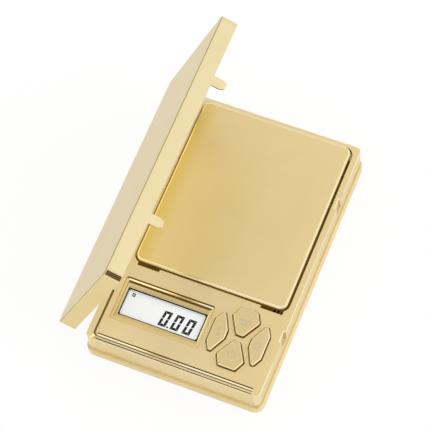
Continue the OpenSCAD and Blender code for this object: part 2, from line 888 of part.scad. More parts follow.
module lcd_holder() {
    color(WHITE)
    difference() {
        slab(inset(glass_box, -pane_fit - holder_t), board_top, glass_top);
        slab(inset(glass_box, -pane_fit), board_top - over, glass_top + over);
    }
}

module zebra_strip() {
    color([0.75, 0.4, 0.5])
    slab(zebra_box, board_top, board_top + light_t);
}

// Key cap with its flange under the deck and its foot over the switch
module key(points, foot) {
    color(GOLD)
    translate([keys_at[0], keys_at[1], 0]) {
        translate([0, 0, key_flange_z])
            linear_extrude(body_h + key_rise - key_flange_z)
                polygon(points);
        translate([0, 0, key_flange_z])
            linear_extrude(key_flange_t)
                polygon(grown(points, key_flange));
        post(foot, 1.4, key_foot_z, key_flange_z + eps);
    }
}

module power_key() {
    key(bottom_outline, -top_switch);
}

module tare_key() {
    key(right_outline, right_switch);
}

module mode_key() {
    key(left_outline, -right_switch);
}

module count_key() {
    key(top_outline, top_switch);
}

module key_switches() {
    color(BLACK)
    for (p = switch_points) {
        slab(around(keys_at + p, 2.25, 2.25), board_top, board_top + switch_h);
        post(keys_at + p, 1, board_top + switch_h - eps, plunger_top);
    }
}

module main_board() {
    color(GREEN)
    difference() {
        slab(board_box, board_z, board_top);
        for (p = board_screws_at)
            post(p, board_screw_r + hole_fit, board_z - over, board_top + over);
    }
}

module controller_chip() {
    color(BLACK)
    slab(around([window_box[0] + 14, keys_at[1]], 4, 4), board_z - 1.2, board_z);
}

module converter_chip() {
    color(BLACK)
    slab(around([keys_at[0], keys_at[1] + 6], 2.6, 2), board_z - 1.5, board_z);
}

module board_capacitors() {
    color(COPPER)
    for (i = [0 : 3])
        slab(around([keys_at[0] - 8 + 4 * i, keys_at[1] - 2], 1, 0.6), board_z - 0.9, board_z);
}

module board_screws() {
    color(STEEL)
    for (p = board_screws_at)
        screw(p, board_z, board_screw_r, board_t + board_screw_l, board_screw_r + 0.8, 1.1, 1);
}

// Two cells, laid head to tail
module batteries() {
    cap_l = 1;
    x0 = bay_box[0] + contact_t + dimple_l + seat_gap;
    x1 = bay_box[1] - contact_t - dimple_l - seat_gap;
    color(BLACK) {
        rod(x0 + cap_l, x0 + cell_l, cell_ys[0], cell_z, cell_d / 2);
        rod(x0, x0 + cap_l + eps, cell_ys[0], cell_z, 1.9);
        rod(x1 - cell_l, x1 - cap_l, cell_ys[1], cell_z, cell_d / 2);
        rod(x1 - cap_l - eps, x1, cell_ys[1], cell_z, 1.9);
    }
}

// Plates with a dimple at the cap end and a bent leaf at the flat end of each cell
module battery_contacts() {
    plate_h = 8.6;
    leaf_t = 0.5;
    z0 = floor_z + seat_gap;
    reach = contact_room - contact_t - dimple_l - 2 * seat_gap;
    color(STEEL)
    for (i = [0, 1]) {
        side = i == 0 ? 1 : -1;
        plate_box = around([0, cell_ys[i]], 0, 4);
        translate([side > 0 ? bay_box[0] : bay_box[1], 0, 0])
            mirror([side > 0 ? 0 : 1, 0, 0]) {
                slab([0, contact_t, plate_box[2], plate_box[3]], z0, z0 + plate_h);
                rod(contact_t - eps, contact_t + dimple_l, cell_ys[i], cell_z, 1.5);
            }
        translate([side > 0 ? bay_box[1] : bay_box[0], 0, 0])
            mirror([side > 0 ? 1 : 0, 0, 0]) {
                slab([0, contact_t, plate_box[2], plate_box[3]], z0, z0 + plate_h);
                rib(cell_ys[i], 4, [
                    [contact_t / 2, z0],
                    [contact_t + leaf_t, z0],
                    [reach, cell_z],
                    [contact_t + leaf_t, z0 + plate_h],
                    [contact_t / 2, z0 + plate_h],
                    [contact_t / 2, z0 + plate_h - leaf_t],
                    [reach - leaf_t, cell_z],
                    [contact_t / 2, z0 + leaf_t]
                ]);
            }
    }
}

// Two leads from the bay along the floor to the board
module battery_wires() {
    low = floor_z + lead_r + 0.2;
    high = board_top + lead_r + seat_gap;
    color([0.1, 0.1, 0.1])
    for (i = [0, 1]) {
        x = board_box[1] - 7 + 4 * lead_r * i;
        wire([
            [bay_box[1] + lead_r + seat_gap, cell_ys[i], lead_z],
            [bay_box[1] + bay_wall + 2 * lead_r, cell_ys[i], lead_z],
            [x, cell_ys[i] - 3, low],
            [x, board_box[3] + 4.4, low],
            [x, board_box[3] + 1.2, high],
            [x, board_box[3] - 1.2, high]
        ], lead_r);
    }
}

// Sliding door, held up by tongues over the ledges at its sides
module battery_door() {
    color(GOLD) {
        slab(door_box, rim_h, floor_z);
        slab([door_box[0], door_box[1], base_box[3] - rim_w, base_box[3]], 0, rim_h + eps);
        for (y = tongue_ys)
            slab([door_box[0] - tongue_out, door_box[1] + tongue_out, y, y + tongue_l],
                 tongue_z, floor_z);
    }
}

module case_screws() {
    color(STEEL)
    for (p = case_screws_at)
        screw(p, case_head_z, screw_r, case_screw_top - case_head_z, screw_r + case_head_w, 1.2, 1);
}

module rubber_feet() {
    color(BLACK)
    for (p = feet_at)
        post(p, foot_r, 0, rim_h + foot_sunk);
}

bottom_case();
top_case();
lid();
hinge_pins();
weighing_tray();
tray_carrier();
carrier_screws();
load_cell();
strain_gauges();
load_cell_spacer();
load_cell_screws();
load_cell_wires();
lcd_window();
lcd_glass();
lcd_digits();
lcd_backlight();
lcd_holder();
zebra_strip();
power_key();
tare_key();
mode_key();
count_key();
key_switches();
main_board();
controller_chip();
converter_chip();
board_capacitors();
board_screws();
batteries();
battery_contacts();
battery_wires();
battery_door();
case_screws();
rubber_feet();
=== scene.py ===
import json
import math

import bmesh
import bpy
from mathutils import Matrix, Quaternion, Vector


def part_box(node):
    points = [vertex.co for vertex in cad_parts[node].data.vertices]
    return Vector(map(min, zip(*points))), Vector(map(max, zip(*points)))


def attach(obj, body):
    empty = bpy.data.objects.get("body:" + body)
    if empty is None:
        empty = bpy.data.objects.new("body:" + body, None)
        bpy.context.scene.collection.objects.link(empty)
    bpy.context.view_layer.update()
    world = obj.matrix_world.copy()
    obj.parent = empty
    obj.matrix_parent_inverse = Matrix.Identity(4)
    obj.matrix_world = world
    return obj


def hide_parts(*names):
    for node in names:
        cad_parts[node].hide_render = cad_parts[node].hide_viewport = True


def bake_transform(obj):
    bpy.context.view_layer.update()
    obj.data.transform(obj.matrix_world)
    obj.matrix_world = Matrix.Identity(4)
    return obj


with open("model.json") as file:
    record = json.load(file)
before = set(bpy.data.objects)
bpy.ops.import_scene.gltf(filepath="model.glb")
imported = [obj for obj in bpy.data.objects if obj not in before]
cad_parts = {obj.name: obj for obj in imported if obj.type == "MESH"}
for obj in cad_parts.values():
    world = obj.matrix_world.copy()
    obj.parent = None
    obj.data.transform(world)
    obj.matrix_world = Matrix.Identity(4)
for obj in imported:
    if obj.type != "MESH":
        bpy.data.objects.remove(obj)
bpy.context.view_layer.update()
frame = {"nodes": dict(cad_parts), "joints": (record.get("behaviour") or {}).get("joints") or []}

MM = 0.001
nodes = frame["nodes"]
joints = {joint["name"]: joint for joint in frame["joints"]}

# Boxes and heights of the pieces at rest, in metres
shell_low, shell_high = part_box("top_case")
tray_low, tray_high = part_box("weighing_tray")
window_low, window_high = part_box("lcd_window")
beam_low, beam_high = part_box("load_cell")
deck_z = shell_high.z
flange_z = shell_low.z
shell_side = shell_high.x
shell_end = shell_high.y
floor_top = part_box("battery_door")[1].z

# Shapes within the pieces, in metres
CORNER_R = 2.6 * MM                     # radius of the lid's corners; the base's is a bit less
LID_DEPTH = 7.2 * MM                    # height of the lid without its pegs
LID_SKIN = 1.2 * MM                     # a bit less than the thickness of the lid's top
BEZEL_DROP = 0.5 * MM                   # step down from the deck round the display
BEZEL_BACK = 0.9 * MM                   # the bezel's back part starts so far within the window
LINES_X = (-33.35 * MM, 34.35 * MM)     # ends of the lines at the front of the deck
BRIGHT_Y = (-57.59 * MM, -58.75 * MM)   # middles of the strips between those lines, which are painted as highlights
TRAY_STRIP = 8 * MM                     # width of the strip of painted reflection along the tray's left edge
TOUCH = 0.02 * MM                       # places that lie closer than this are the same
SLACK = 0.1 * MM                        # how far a face may lie from where it is looked for
JOIN = 2e-6                             # vertices that lie closer than this are joined
FLAT = math.radians(0.6)                # faces that meet at less than this are joined
SHARP = math.radians(30)                # edges of more than this are rounded
SMOOTH = math.radians(40)               # edges of less than this are shaded smooth
bezel_z = deck_z - BEZEL_DROP
bezel_back = window_high.y - BEZEL_BACK


# Materials
def new_material(name):
    material = bpy.data.materials.new(name)
    material.use_nodes = True
    tree = material.node_tree
    tree.nodes.clear()
    out = tree.nodes.new("ShaderNodeOutputMaterial")
    shader = tree.nodes.new("ShaderNodeBsdfPrincipled")
    tree.links.new(shader.outputs["BSDF"], out.inputs["Surface"])
    return material, tree, shader


def noise(tree, scale, detail=3.0):
    coords = tree.nodes.new("ShaderNodeTexCoord")
    node = tree.nodes.new("ShaderNodeTexNoise")
    node.inputs["Scale"].default_value = scale
    node.inputs["Detail"].default_value = detail
    tree.links.new(coords.outputs["Object"], node.inputs["Vector"])
    return node.outputs["Fac"]


def ramp(tree, source, stops):
    node = tree.nodes.new("ShaderNodeValToRGB")
    elements = node.color_ramp.elements
    while len(elements) < len(stops):
        elements.new(0.5)
    for element, (place, colour) in zip(elements, stops):
        element.position = place
        element.color = (*colour, 1.0)
    tree.links.new(source, node.inputs["Fac"])
    return node.outputs["Color"]


def spread(tree, source, low, high):
    node = tree.nodes.new("ShaderNodeMapRange")
    node.inputs["To Min"].default_value = low
    node.inputs["To Max"].default_value = high
    tree.links.new(source, node.inputs["Value"])
    return node.outputs["Result"]


def share(tree, source, start, end):
    """How far source has come on its way from start to end."""
    node = tree.nodes.new("ShaderNodeMapRange")
    node.inputs["From Min"].default_value = start
    node.inputs["From Max"].default_value = end
    tree.links.new(source, node.inputs["Value"])
    return node.outputs["Result"]


def mixed(tree, factor, colour, other):
    """Even colour that goes over into other as factor goes from 0 to 1."""
    node = tree.nodes.new("ShaderNodeMix")
    node.data_type = "RGBA"
    node.inputs["A"].default_value = (*colour, 1)
    tree.links.new(factor, node.inputs["Factor"])
    tree.links.new(other, node.inputs["B"])
    return node.outputs["Result"]


def axes(tree, coordinates):
    """The X, Y and Z of a set of coordinates."""
    coords = tree.nodes.new("ShaderNodeTexCoord")
    split = tree.nodes.new("ShaderNodeSeparateXYZ")
    tree.links.new(coords.outputs[coordinates], split.inputs["Vector"])
    return split.outputs


def bump(tree, source, height):
    node = tree.nodes.new("ShaderNodeBump")
    node.inputs["Distance"].default_value = height
    tree.links.new(source, node.inputs["Height"])
    return node.outputs["Normal"]


def finish(name, low, high, rough, metallic=0.0, scale=400, height=1e-5):
    """Material whose colour runs from low to high in soft patches, with a fine uneven gloss."""
    material, tree, shader = new_material(name)
    shader.inputs["Metallic"].default_value = metallic
    colour = ramp(tree, noise(tree, scale), [(0.35, low), (0.65, high)])
    tree.links.new(colour, shader.inputs["Base Color"])
    gloss = spread(tree, noise(tree, scale * 2), rough * 0.85, rough * 1.15)
    tree.links.new(gloss, shader.inputs["Roughness"])
    tree.links.new(bump(tree, noise(tree, scale * 3), height), shader.inputs["Normal"])
    return material


def plated(name, low, high, rough, metallic):
    """Metallised plastic, smoother and more even than the other materials."""
    return finish(name, low, high, rough, metallic, scale=60, height=5e-7)


def graded(source, name, colour, start, end):
    """Copy of a material whose colour runs along X, from another colour at start to its own
    at end."""
    material = source.copy()
    material.name = name
    tree = material.node_tree
    base = tree.nodes["Principled BSDF"].inputs["Base Color"]
    own = base.links[0].from_socket
    along = share(tree, axes(tree, "Object")["X"], start, end)
    tree.links.new(mixed(tree, along, colour, own), base)
    return material


def set_shader(material, **values):
    """Sets inputs of a material's shader, named with underscores for spaces."""
    inputs = material.node_tree.nodes["Principled BSDF"].inputs
    for name, value in values.items():
        inputs[name.replace("_", " ")].default_value = value


def print_colour(name, colour, rough):
    """Material of one almost even colour."""
    material, tree, shader = new_material(name)
    darker, lighter = [tuple(c * f for c in colour) for f in (0.94, 1.06)]
    tree.links.new(ramp(tree, noise(tree, 900), [(0.3, darker), (0.7, lighter)]),
                   shader.inputs["Base Color"])
    shader.inputs["Roughness"].default_value = rough
    return material


gold = plated("plated_gold", (0.765, 0.60, 0.285), (0.785, 0.62, 0.305), 0.36, 0.34)
# Painted light: a paler copy of the plated gold for faces shown catching more light, the lid's
# walls and roundings and the tray's right and back roundings
pale_painted_light_gold = plated("pale_painted_light_gold", (0.765, 0.645, 0.36), (0.785, 0.665, 0.38), 0.36, 0.42)
# Painted reflection: a saturated copy of the gold where the lid's inside is mirrored, on the
# tray's left faces and the left wall of its opening
lid_reflection_gold = plated("lid_reflection_gold", (0.76, 0.52, 0.10), (0.78, 0.54, 0.12), 0.25, 0.6)
# Polished finish with a painted highlight: its cream colour stands in for the white light that
# rounded edges and the flat strips between the front lines catch
edge_highlight_gold = plated("polished_highlight_gold", (0.92, 0.80, 0.52), (0.94, 0.82, 0.54), 0.14, 0.92)
# Painted reflection: dark olive lines on the bezel's left rounding, the middle of the lid's top
# rounding and the front faces of the lid's pegs
olive_reflection_gold = plated("olive_reflection_gold", (0.44, 0.35, 0.12), (0.47, 0.38, 0.14), 0.3, 0.5)
# Painted shade: a dark brown copy of the gold for the walls and floors of recesses and gaps, the
# tray's walls and the keys' sides
recess_shadow_gold = plated("painted_recess_shadow_gold", (0.44, 0.28, 0.04), (0.48, 0.31, 0.05), 0.3, 0.3)
mirror_gold = plated("mirror_gold", (0.87, 0.79, 0.50), (0.88, 0.80, 0.52), 0.14, 0.95)
# Painted shade: a darker copy of the gold for the base's right wall, the key tops and the lid's
# top
painted_shading_gold = plated("painted_shading_gold", (0.70, 0.555, 0.27), (0.72, 0.575, 0.29), 0.36, 0.42)
corner_gold = plated("corner_gold", (0.80, 0.66, 0.36), (0.82, 0.68, 0.38), 0.16, 0.92)
# Painted shade and painted reflection: near-black gold for the front lines' grooves and the dark
# line along the back of the bezel's step
dark_shadow_gold = plated("dark_shadow_gold", (0.12, 0.065, 0.015), (0.15, 0.08, 0.02), 0.3, 0.7)
# Painted light: a warmer, more saturated copy of the gold for the lid's short walls
warm_painted_light_gold = plated("warm_painted_light_gold", (0.75, 0.575, 0.21), (0.77, 0.595, 0.23), 0.36, 0.42)
# Painted reflection: a dark bronze band on the faces of the lid's rounded corners
bronze_reflection_gold = plated("bronze_reflection_gold", (0.115, 0.052, 0.004), (0.135, 0.065, 0.008), 0.4, 0.42)

# The inside of the base glows a little, painted light that stands in for the light its walls
# throw to and fro, so that it shows brown through the gaps
inner_glow_gold = plated("inner_glow_gold", (0.765, 0.60, 0.285), (0.785, 0.62, 0.305), 0.36, 0.34)
set_shader(inner_glow_gold, Emission_Color=(1, 0.5, 0.07, 1), Emission_Strength=0.05)

# Painted reflection: the tray's colour is richer along its left edge, where the lid is mirrored
# in it. Painted light: the deck's colour is paler on the left
tray_reflection_gold = graded(gold, "tray_reflection_gold", (0.74, 0.53, 0.115), tray_low.x, tray_low.x + TRAY_STRIP)
deck_painted_light_gold = graded(gold, "deck_painted_light_gold", (0.765, 0.64, 0.40), -0.4 * shell_side, 0.7 * shell_side)

GOLDS = (gold, edge_highlight_gold, recess_shadow_gold, lid_reflection_gold, olive_reflection_gold, pale_painted_light_gold, mirror_gold, painted_shading_gold,
         corner_gold, dark_shadow_gold, warm_painted_light_gold, bronze_reflection_gold, deck_painted_light_gold, inner_glow_gold)
(PLATED, EDGE, RECESS_SHADOW, LID_REFLECTION, OLIVE_REFLECTION, PALE_LIT, MIRROR, PAINTED_SHADING,
 CORNER, DARK_SHADOW, WARM_LIT, BRONZE_REFLECTION, DECK_LIT, INNER_GLOW) = range(len(GOLDS))

steel = finish("zinc_steel", (0.5, 0.5, 0.5), (0.62, 0.62, 0.62), 0.3, 1.0)
milled = finish("milled_aluminium", (0.7, 0.71, 0.72), (0.78, 0.79, 0.8), 0.35, 1.0)
white = finish("white_plastic", (0.75, 0.75, 0.73), (0.8, 0.8, 0.78), 0.5)
black = finish("black_plastic", (0.02, 0.02, 0.02), (0.04, 0.04, 0.04), 0.45)
green = finish("solder_mask", (0.02, 0.12, 0.05), (0.03, 0.16, 0.07), 0.35)
amber = finish("amber_film", (0.55, 0.25, 0.06), (0.62, 0.3, 0.09), 0.4)
pink = finish("silicone", (0.55, 0.25, 0.28), (0.6, 0.28, 0.3), 0.6)
red = finish("red_wire", (0.45, 0.02, 0.02), (0.5, 0.03, 0.02), 0.4)
rubber = finish("rubber", (0.02, 0.02, 0.02), (0.035, 0.035, 0.035), 0.7)
display = finish("display_cell", (0.78, 0.815, 0.88), (0.80, 0.835, 0.90), 0.35)
set_shader(display, Emission_Color=(0.9, 0.93, 1, 1), Emission_Strength=0.33)
ink = finish("display_ink", (0.006, 0.006, 0.008), (0.01, 0.01, 0.012), 0.4)
set_shader(ink, Specular_IOR_Level=0.1)
window = new_material("clear_window")[0]
set_shader(window, Base_Color=(0.3, 0.3, 0.3, 1), Roughness=0.05, Alpha=0.04)
grey_print = print_colour("grey_print", (0.55, 0.48, 0.34), 0.5)

# The CAD nodes that each material is for
LOOKS = {
    gold: ["bottom_case", "top_case", "weighing_tray", "power_key", "tare_key", "mode_key",
           "count_key", "battery_door"],
    pale_painted_light_gold: ["lid"],
    steel: ["hinge_pins", "carrier_screws", "load_cell_screws", "board_screws", "case_screws",
            "battery_contacts"],
    milled: ["load_cell", "load_cell_spacer"],
    white: ["tray_carrier", "lcd_holder", "lcd_backlight"],
    amber: ["strain_gauges", "board_capacitors"],
    pink: ["zebra_strip"],
    red: ["load_cell_wires"],
    green: ["main_board"],
    black: ["key_switches", "controller_chip", "converter_chip", "batteries", "battery_wires"],
    rubber: ["rubber_feet"],
    window: ["lcd_window"],
    display: ["lcd_glass"],
    ink: ["lcd_digits"],
}
for material, names in LOOKS.items():
    for name in names:
        data = nodes[name].data
        data.materials.clear()
        data.materials.append(material)


# Pieces that take a node's own mesh
def close(a, b, tolerance=TOUCH):
    return abs(a - b) < tolerance


def node_mesh(node, turned=None):
    """A node's mesh with its triangles joined into whole faces."""
    mesh = bmesh.new()
    mesh.from_mesh(nodes[node].data)
    if turned:
        mesh.transform(turned)
    bmesh.ops.remove_doubles(mesh, verts=mesh.verts, dist=JOIN)
    bmesh.ops.dissolve_limit(mesh, angle_limit=FLAT, verts=mesh.verts, edges=mesh.edges)
    return mesh


def cut(mesh, parts, x):
    """Cuts parts of a mesh along the plane at x."""
    bmesh.ops.bisect_plane(mesh, geom=parts, dist=1e-7, plane_co=(x, 0, 0), plane_no=(1, 0, 0))


def new_piece(name, mesh, mesh_name, materials):
    """Object with these materials, made from a bmesh, which is freed."""
    data = bpy.data.meshes.new(mesh_name)
    mesh.to_mesh(data)
    mesh.free()
    for material in materials:
        data.materials.append(material)
    piece = bpy.data.objects.new(name, data)
    bpy.context.scene.collection.objects.link(piece)
    return piece


def sharp_edges(mesh):
    return [e for e in mesh.edges if len(e.link_faces) == 2 and e.calc_face_angle(0) > SHARP]


def refine(node, body, rounds, paint, turned=None, cuts=()):
    """Copies a node's mesh, rounds its edges and lets the copy stand for the node.
    rounds is a list of (radius in metres, segments, test); test gets an edge's two ends, in the
    frame in which the piece lies flat. paint gets a face's centre and normal in that frame and
    whether it is part of a rounded edge, and gives the face's place in GOLDS. cuts are the places
    on X where the deck's flat faces are cut, so that parts of them can be painted."""
    mesh = node_mesh(node, turned)
    for radius, segments, test in rounds:
        edges = [e for e in sharp_edges(mesh) if test(e.verts[0].co, e.verts[1].co)]
        bmesh.ops.bevel(mesh, geom=edges, offset=radius, segments=segments, profile=0.5,
                        affect="EDGES", clamp_overlap=False, loop_slide=True, material=1)
    mesh.normal_update()
    for x in cuts:
        flat = [f for f in mesh.faces
                if f.normal.z > 0.99 and close(f.calc_center_median().z, deck_z)]
        around = dict.fromkeys([e for f in flat for e in f.edges]
                               + [v for f in flat for v in f.verts])
        cut(mesh, flat + list(around), x)
    for face in mesh.faces:
        rounded = face.material_index == 1
        face.material_index = paint(face.calc_center_median(), face.normal, rounded)
    if turned:
        mesh.transform(turned.inverted())
    piece = new_piece(node + "_body", mesh, node + "_mesh", GOLDS)
    data = piece.data
    data.polygons.foreach_set("use_smooth", [True] * len(data.polygons))
    data.set_sharp_from_angle(angle=SMOOTH)
    even = piece.modifiers.new("Even", "WEIGHTED_NORMAL")
    even.keep_sharp = True
    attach(piece, body)
    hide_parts(node)
    return piece


# Tests for an edge, from its two ends
def level(z):
    """Test for an edge that lies at the height z."""
    return lambda a, b: close(a.z, z) and close(b.z, z)


def round_window(side, end):
    """Test for an edge within the window's box, grown by side on X and by end on Y."""
    return lambda a, b: all(window_low.x - side < p.x < window_high.x + side
                            and window_low.y - end < p.y < window_high.y + end for p in (a, b))


in_bezel = round_window(2 * MM, 4 * MM)
in_step = round_window(0, 1.3 * MM)


def upright(a, b):
    return close(a.x, b.x) and close(a.y, b.y)


def outside_shell(a, b):
    """Test for an edge that reaches outside the base shell's outline."""
    margin = 0.5 * MM
    return any(abs(p.x) > shell_side + margin or abs(p.y) > shell_end + margin for p in (a, b))


def in_lines(a, b):
    """Test for an edge of the lines at the front and left of the deck."""
    front_w, left_w, left_l = 3.4 * MM, 4 * MM, 24 * MM
    back = max(a.y, b.y)
    at_front = back < -shell_end + front_w
    at_left = max(a.x, b.x) < -shell_side + left_w and back < -shell_end + left_l
    return at_front or at_left


def around_shell(a, b):
    """Test for an edge of the base shell's outer outline, rounded corners included."""
    corner = 2.3 * MM
    outside = []
    for p in (a, b):
        side = close(abs(p.x), shell_side) or close(abs(p.y), shell_end)
        in_corner = abs(p.x) > shell_side - corner and abs(p.y) > shell_end - corner
        outside.append(side or in_corner)
    return all(outside)


def round_corner(centre, normal):
    """Test for an upright face of a rounded corner that faces outwards."""
    at_corner = abs(centre.x) > shell_side - CORNER_R and abs(centre.y) > shell_end - CORNER_R
    outward = normal.x * centre.x > 0 and normal.y * centre.y > 0
    turned = abs(normal.x) < 0.999 and abs(normal.y) < 0.999
    return at_corner and outward and turned and abs(normal.z) < 0.3


# Which gold a face has, from its centre, its normal and whether it is part of a rounded edge
def bezel_paint(centre, normal, rounded):
    """Painted highlight and painted shade draw bright and dark lines along the bezel's step at
    the back;
    the rounding on its left side gets a painted dark reflection and on its right a painted
    highlight; its other faces are plain.
    """
    reach = 0.7 * MM
    at_back = centre.y > bezel_back
    on_step = at_back and centre.z > bezel_z - reach
    if on_step and normal.z > 0.97 and close(centre.z, bezel_z):
        return EDGE
    if on_step and normal.y < -0.15 and abs(normal.x) < 0.5:
        return DARK_SHADOW
    if at_back and normal.y < -0.9:
        return MIRROR
    if rounded and abs(normal.x) > 0.3:
        return EDGE if centre.x > 0 else OLIVE_REFLECTION
    return PLATED


def case_paint(centre, normal, rounded):
    """Painted shade darkens the grooves and openings of the deck, a painted reflection of the lid
    makes the left wall of the tray's opening rich, and the deck and the base's right wall get
    painted light and shade."""
    # Painted highlight on the flat strips between the front lines; painted light, paler on the
    # left, on the rest of the deck
    if normal.z > 0.99 and close(centre.z, deck_z):
        return EDGE if any(close(centre.y, y, SLACK) for y in BRIGHT_Y) else DECK_LIT
    if in_bezel(centre, centre):
        return bezel_paint(centre, normal, rounded)
    if rounded:
        return EDGE
    if round_corner(centre, normal):
        return CORNER
    # Painted shade on the base's right wall
    if normal.x > 0.9 and centre.x > shell_side - SLACK:
        return PAINTED_SHADING
    wall, groove = 0.6 * MM, 1.5 * MM
    inside = abs(centre.x) < shell_side - wall and abs(centre.y) < shell_end - wall
    if inside and deck_z - groove < centre.z < deck_z - TOUCH:
        # Painted shade in the front lines' grooves, painted reflection of the lid on the
        # opening's left wall, painted shade in the other recesses
        if in_lines(centre, centre):
            return DARK_SHADOW
        return LID_REFLECTION if centre.x < tray_low.x and centre.y > tray_low.y else RECESS_SHADOW
    return PLATED


def base_paint(centre, normal, rounded):
    # Painted glow on the base's inner floor; polished corners elsewhere
    if normal.z > 0.9 and close(centre.z, floor_top):
        return INNER_GLOW
    return CORNER if round_corner(centre, normal) else PLATED


def tray_paint(centre, normal, rounded):
    # Painted reflection of the lid on the tray's left faces, painted light on its right and back
    # roundings, painted highlight on its other roundings and painted shade on its front and right
    # walls
    if normal.x < -0.3:
        return LID_REFLECTION
    if rounded:
        return PALE_LIT if normal.x > 0.3 or normal.y > 0.3 else EDGE
    return RECESS_SHADOW if abs(normal.z) < 0.3 and normal.y < 0.05 else PLATED


def key_paint(centre, normal, rounded):
    # Painted highlight on the keys' rounded edges, painted shade on their sides and on their tops
    if rounded:
        return EDGE
    return RECESS_SHADOW if abs(normal.z) < 0.3 else PAINTED_SHADING


def lid_paint(centre, normal, rounded):
    """In the frame in which the lid lies flat."""
    # Painted reflection: olive lines on the middle of the top's rounding and on the pegs' front
    # faces, and bronze bands on the corners. Painted light and shade: pale walls and roundings,
    # warm short walls and a shaded top. The inside is a mirror finish.
    if rounded:
        return OLIVE_REFLECTION if 0.4 < normal.z < 0.8 else PALE_LIT
    if centre.z < lid_flat_rim and normal.y < -0.3:
        return OLIVE_REFLECTION
    if round_corner(centre, normal):
        return BRONZE_REFLECTION if 0.3 < -normal.y < 0.88 else CORNER
    within = abs(centre.x) < shell_side - SLACK and abs(centre.y) < shell_end - SLACK
    if within and centre.z < lid_flat_top - LID_SKIN:
        return PALE_LIT if abs(normal.z) < 0.3 else MIRROR
    if abs(normal.y) > 0.9:
        return WARM_LIT
    return PAINTED_SHADING if centre.z > lid_flat_top - SLACK else PALE_LIT


refine("top_case", "base", [
    (0.2 * MM, 3, lambda a, b: level(deck_z)(a, b) and around_shell(a, b)),
    (0.48 * MM, 4, lambda a, b: level(deck_z)(a, b) and in_bezel(a, b)),
    (0.25 * MM, 3, lambda a, b: level(deck_z)(a, b) and not in_lines(a, b)),
    (0.55 * MM, 5, lambda a, b: level(bezel_z)(a, b) and in_step(a, b)),
], case_paint, cuts=LINES_X)
refine("bottom_case", "base", [
    (0.8 * MM, 4, lambda a, b: level(flange_z)(a, b) and outside_shell(a, b)),
], base_paint)

# Turns the lid from where it stands at rest until it lies flat
hinge_at = Vector(joints["lid_hinge"]["pos_m"])
lid_angle = math.radians(joints["lid_hinge"]["range_deg"][1])
flat_lid = (Matrix.Translation(hinge_at) @ Matrix.Rotation(lid_angle, 4, "Y")
            @ Matrix.Translation(-hinge_at))
lid_flat_top = max((flat_lid @ v.co).z for v in nodes["lid"].data.vertices)
lid_flat_rim = lid_flat_top - LID_DEPTH
refine("lid", "lid", [
    (0.8 * MM, 5, level(lid_flat_top)),
    (0.2 * MM, 2, level(lid_flat_rim)),
], lid_paint, flat_lid)

tray = refine("weighing_tray", "platform", [
    (0.9 * MM, 6, level(tray_high.z)),
    (0.2 * MM, 2, level(tray_low.z)),
], tray_paint)
# Painted reflection: the tray's gold runs richer towards its left edge
tray.data.materials[PLATED] = tray_reflection_gold
for key in ("power_key", "tare_key", "mode_key", "count_key"):
    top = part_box(key)[1].z
    refine(key, key, [
        (0.4 * MM, 3, lambda a, b: upright(a, b) and max(a.z, b.z) > top - 0.01 * MM),
        (0.35 * MM, 4, level(top)),
    ], key_paint)
refine("battery_door", "battery_door", [], base_paint)


# The load cell and its gauges are cut into thin slices across the part between its two bores,
# where the beam bends when the tray is pressed
BEND_HALF = 9 * MM
BEND_PARTS = 12
beam_mid = (beam_low.x + beam_high.x) / 2
for node, slot in (("load_cell", "beam_metal"), ("strain_gauges", "gauge_film")):
    mesh = node_mesh(node)
    for i in range(BEND_PARTS + 1):
        cut(mesh, mesh.verts[:] + mesh.edges[:] + mesh.faces[:],
            beam_mid + BEND_HALF * (2 * i / BEND_PARTS - 1))
    piece = new_piece(node + "_body", mesh, node + "_mesh", nodes[node].data.materials[:1])
    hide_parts(node)
    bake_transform(piece)


# Printed marks
PRINT_T = 0.02 * MM


def printed(name, outlines, place, z, body, material):
    """Thin print: closed outlines of points in millimetres about place, at the height z."""
    mesh = bmesh.new()
    for outline in outlines:
        bottom = [mesh.verts.new((place[0] + x * MM, place[1] + y * MM, z)) for x, y in outline]
        face = mesh.faces.new(bottom)
        raised = bmesh.ops.extrude_face_region(mesh, geom=[face])["geom"]
        bmesh.ops.translate(mesh, verts=[v for v in raised if isinstance(v, bmesh.types.BMVert)],
                            vec=(0, 0, PRINT_T))
    bmesh.ops.recalc_face_normals(mesh, faces=mesh.faces)
    piece = new_piece(name, mesh, name + "_mesh", [material])
    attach(piece, body)


def arc(x, y, outer, inner, first, last, steps=24):
    """Outline of a band round a point, between two angles in degrees."""
    angles = [math.radians(first + (last - first) * i / steps) for i in range(steps + 1)]
    ring = [(x + outer * math.cos(a), y + outer * math.sin(a)) for a in angles]
    return ring + [(x + inner * math.cos(a), y + inner * math.sin(a)) for a in reversed(angles)]


def bar(x0, y0, x1, y1):
    return [(x0, y0), (x1, y0), (x1, y1), (x0, y1)]


def squares(half, centres):
    return [bar(x - half, y - half, x + half, y + half) for x, y in centres]


MARKS = {
    "power_key": [arc(0, 0, 1.7, 1.3, 125, 415), bar(-0.2, 0.3, 0.2, 2.0)],
    "count_key": squares(0.5, ((-1.4, 0.6), (0, 0.6), (1.4, 0.6), (-0.7, -0.9), (0.7, -0.9))),
    "mode_key": [[(-0.9, 1.0), (0.9, 1.0), (0, 2.2)], [(-0.9, -1.0), (0, -2.2), (0.9, -1.0)],
                 bar(-0.2, -0.9, 0.2, 0.9)],
    "tare_key": [arc(0, 0, 1.3, 0.9, 0, 180), arc(0, 0, 1.3, 0.9, 180, 360),
                 bar(-1.3, -2.1, 1.3, -1.7)],
}
for key, outlines in MARKS.items():
    low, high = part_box(key)
    printed(key + "_mark", outlines, ((low.x + high.x) / 2, (low.y + high.y) / 2), high.z, key,
            grey_print)

# Black line printed on the window, with rounded corners, in millimetres
LINE_IN = 1.1
LINE_W = 0.5
LINE_R = 0.9
LINE_STEPS = 6


